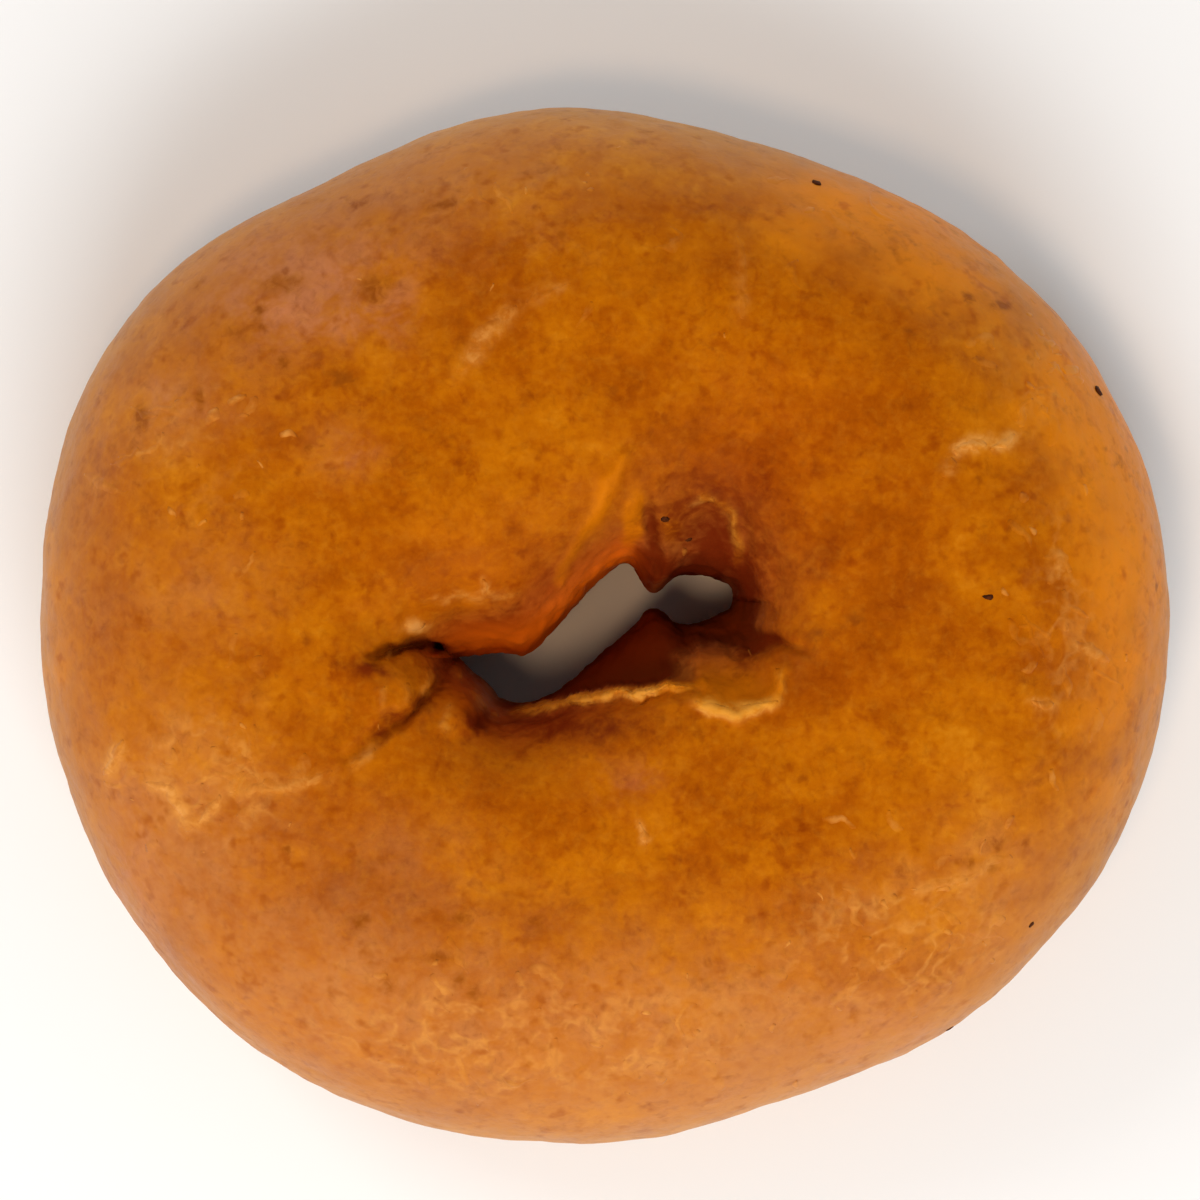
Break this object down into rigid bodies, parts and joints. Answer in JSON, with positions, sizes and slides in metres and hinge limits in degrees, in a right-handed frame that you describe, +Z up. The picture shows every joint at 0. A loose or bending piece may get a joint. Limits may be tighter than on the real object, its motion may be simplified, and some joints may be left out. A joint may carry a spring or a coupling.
{
  "type": "bagel",
  "caption": "Plain baked bagel: a plump, slightly uneven ring of bread with a smooth browned crust, whose hole has closed to a crooked slit.",
  "frame": {"origin": "on the surface that the bagel rests on, under the middle of its outline", "axes": "+X along the bagel's longer side, towards the pocket end of the slit; +Z up, out of the crown"},
  "size_m": [0.118, 0.108, 0.038],
  "materials": {
    "crust": "satin"
  },
  "bodies": {
    "root": {"bagel": "crust"}
  },
  "joints": []
}
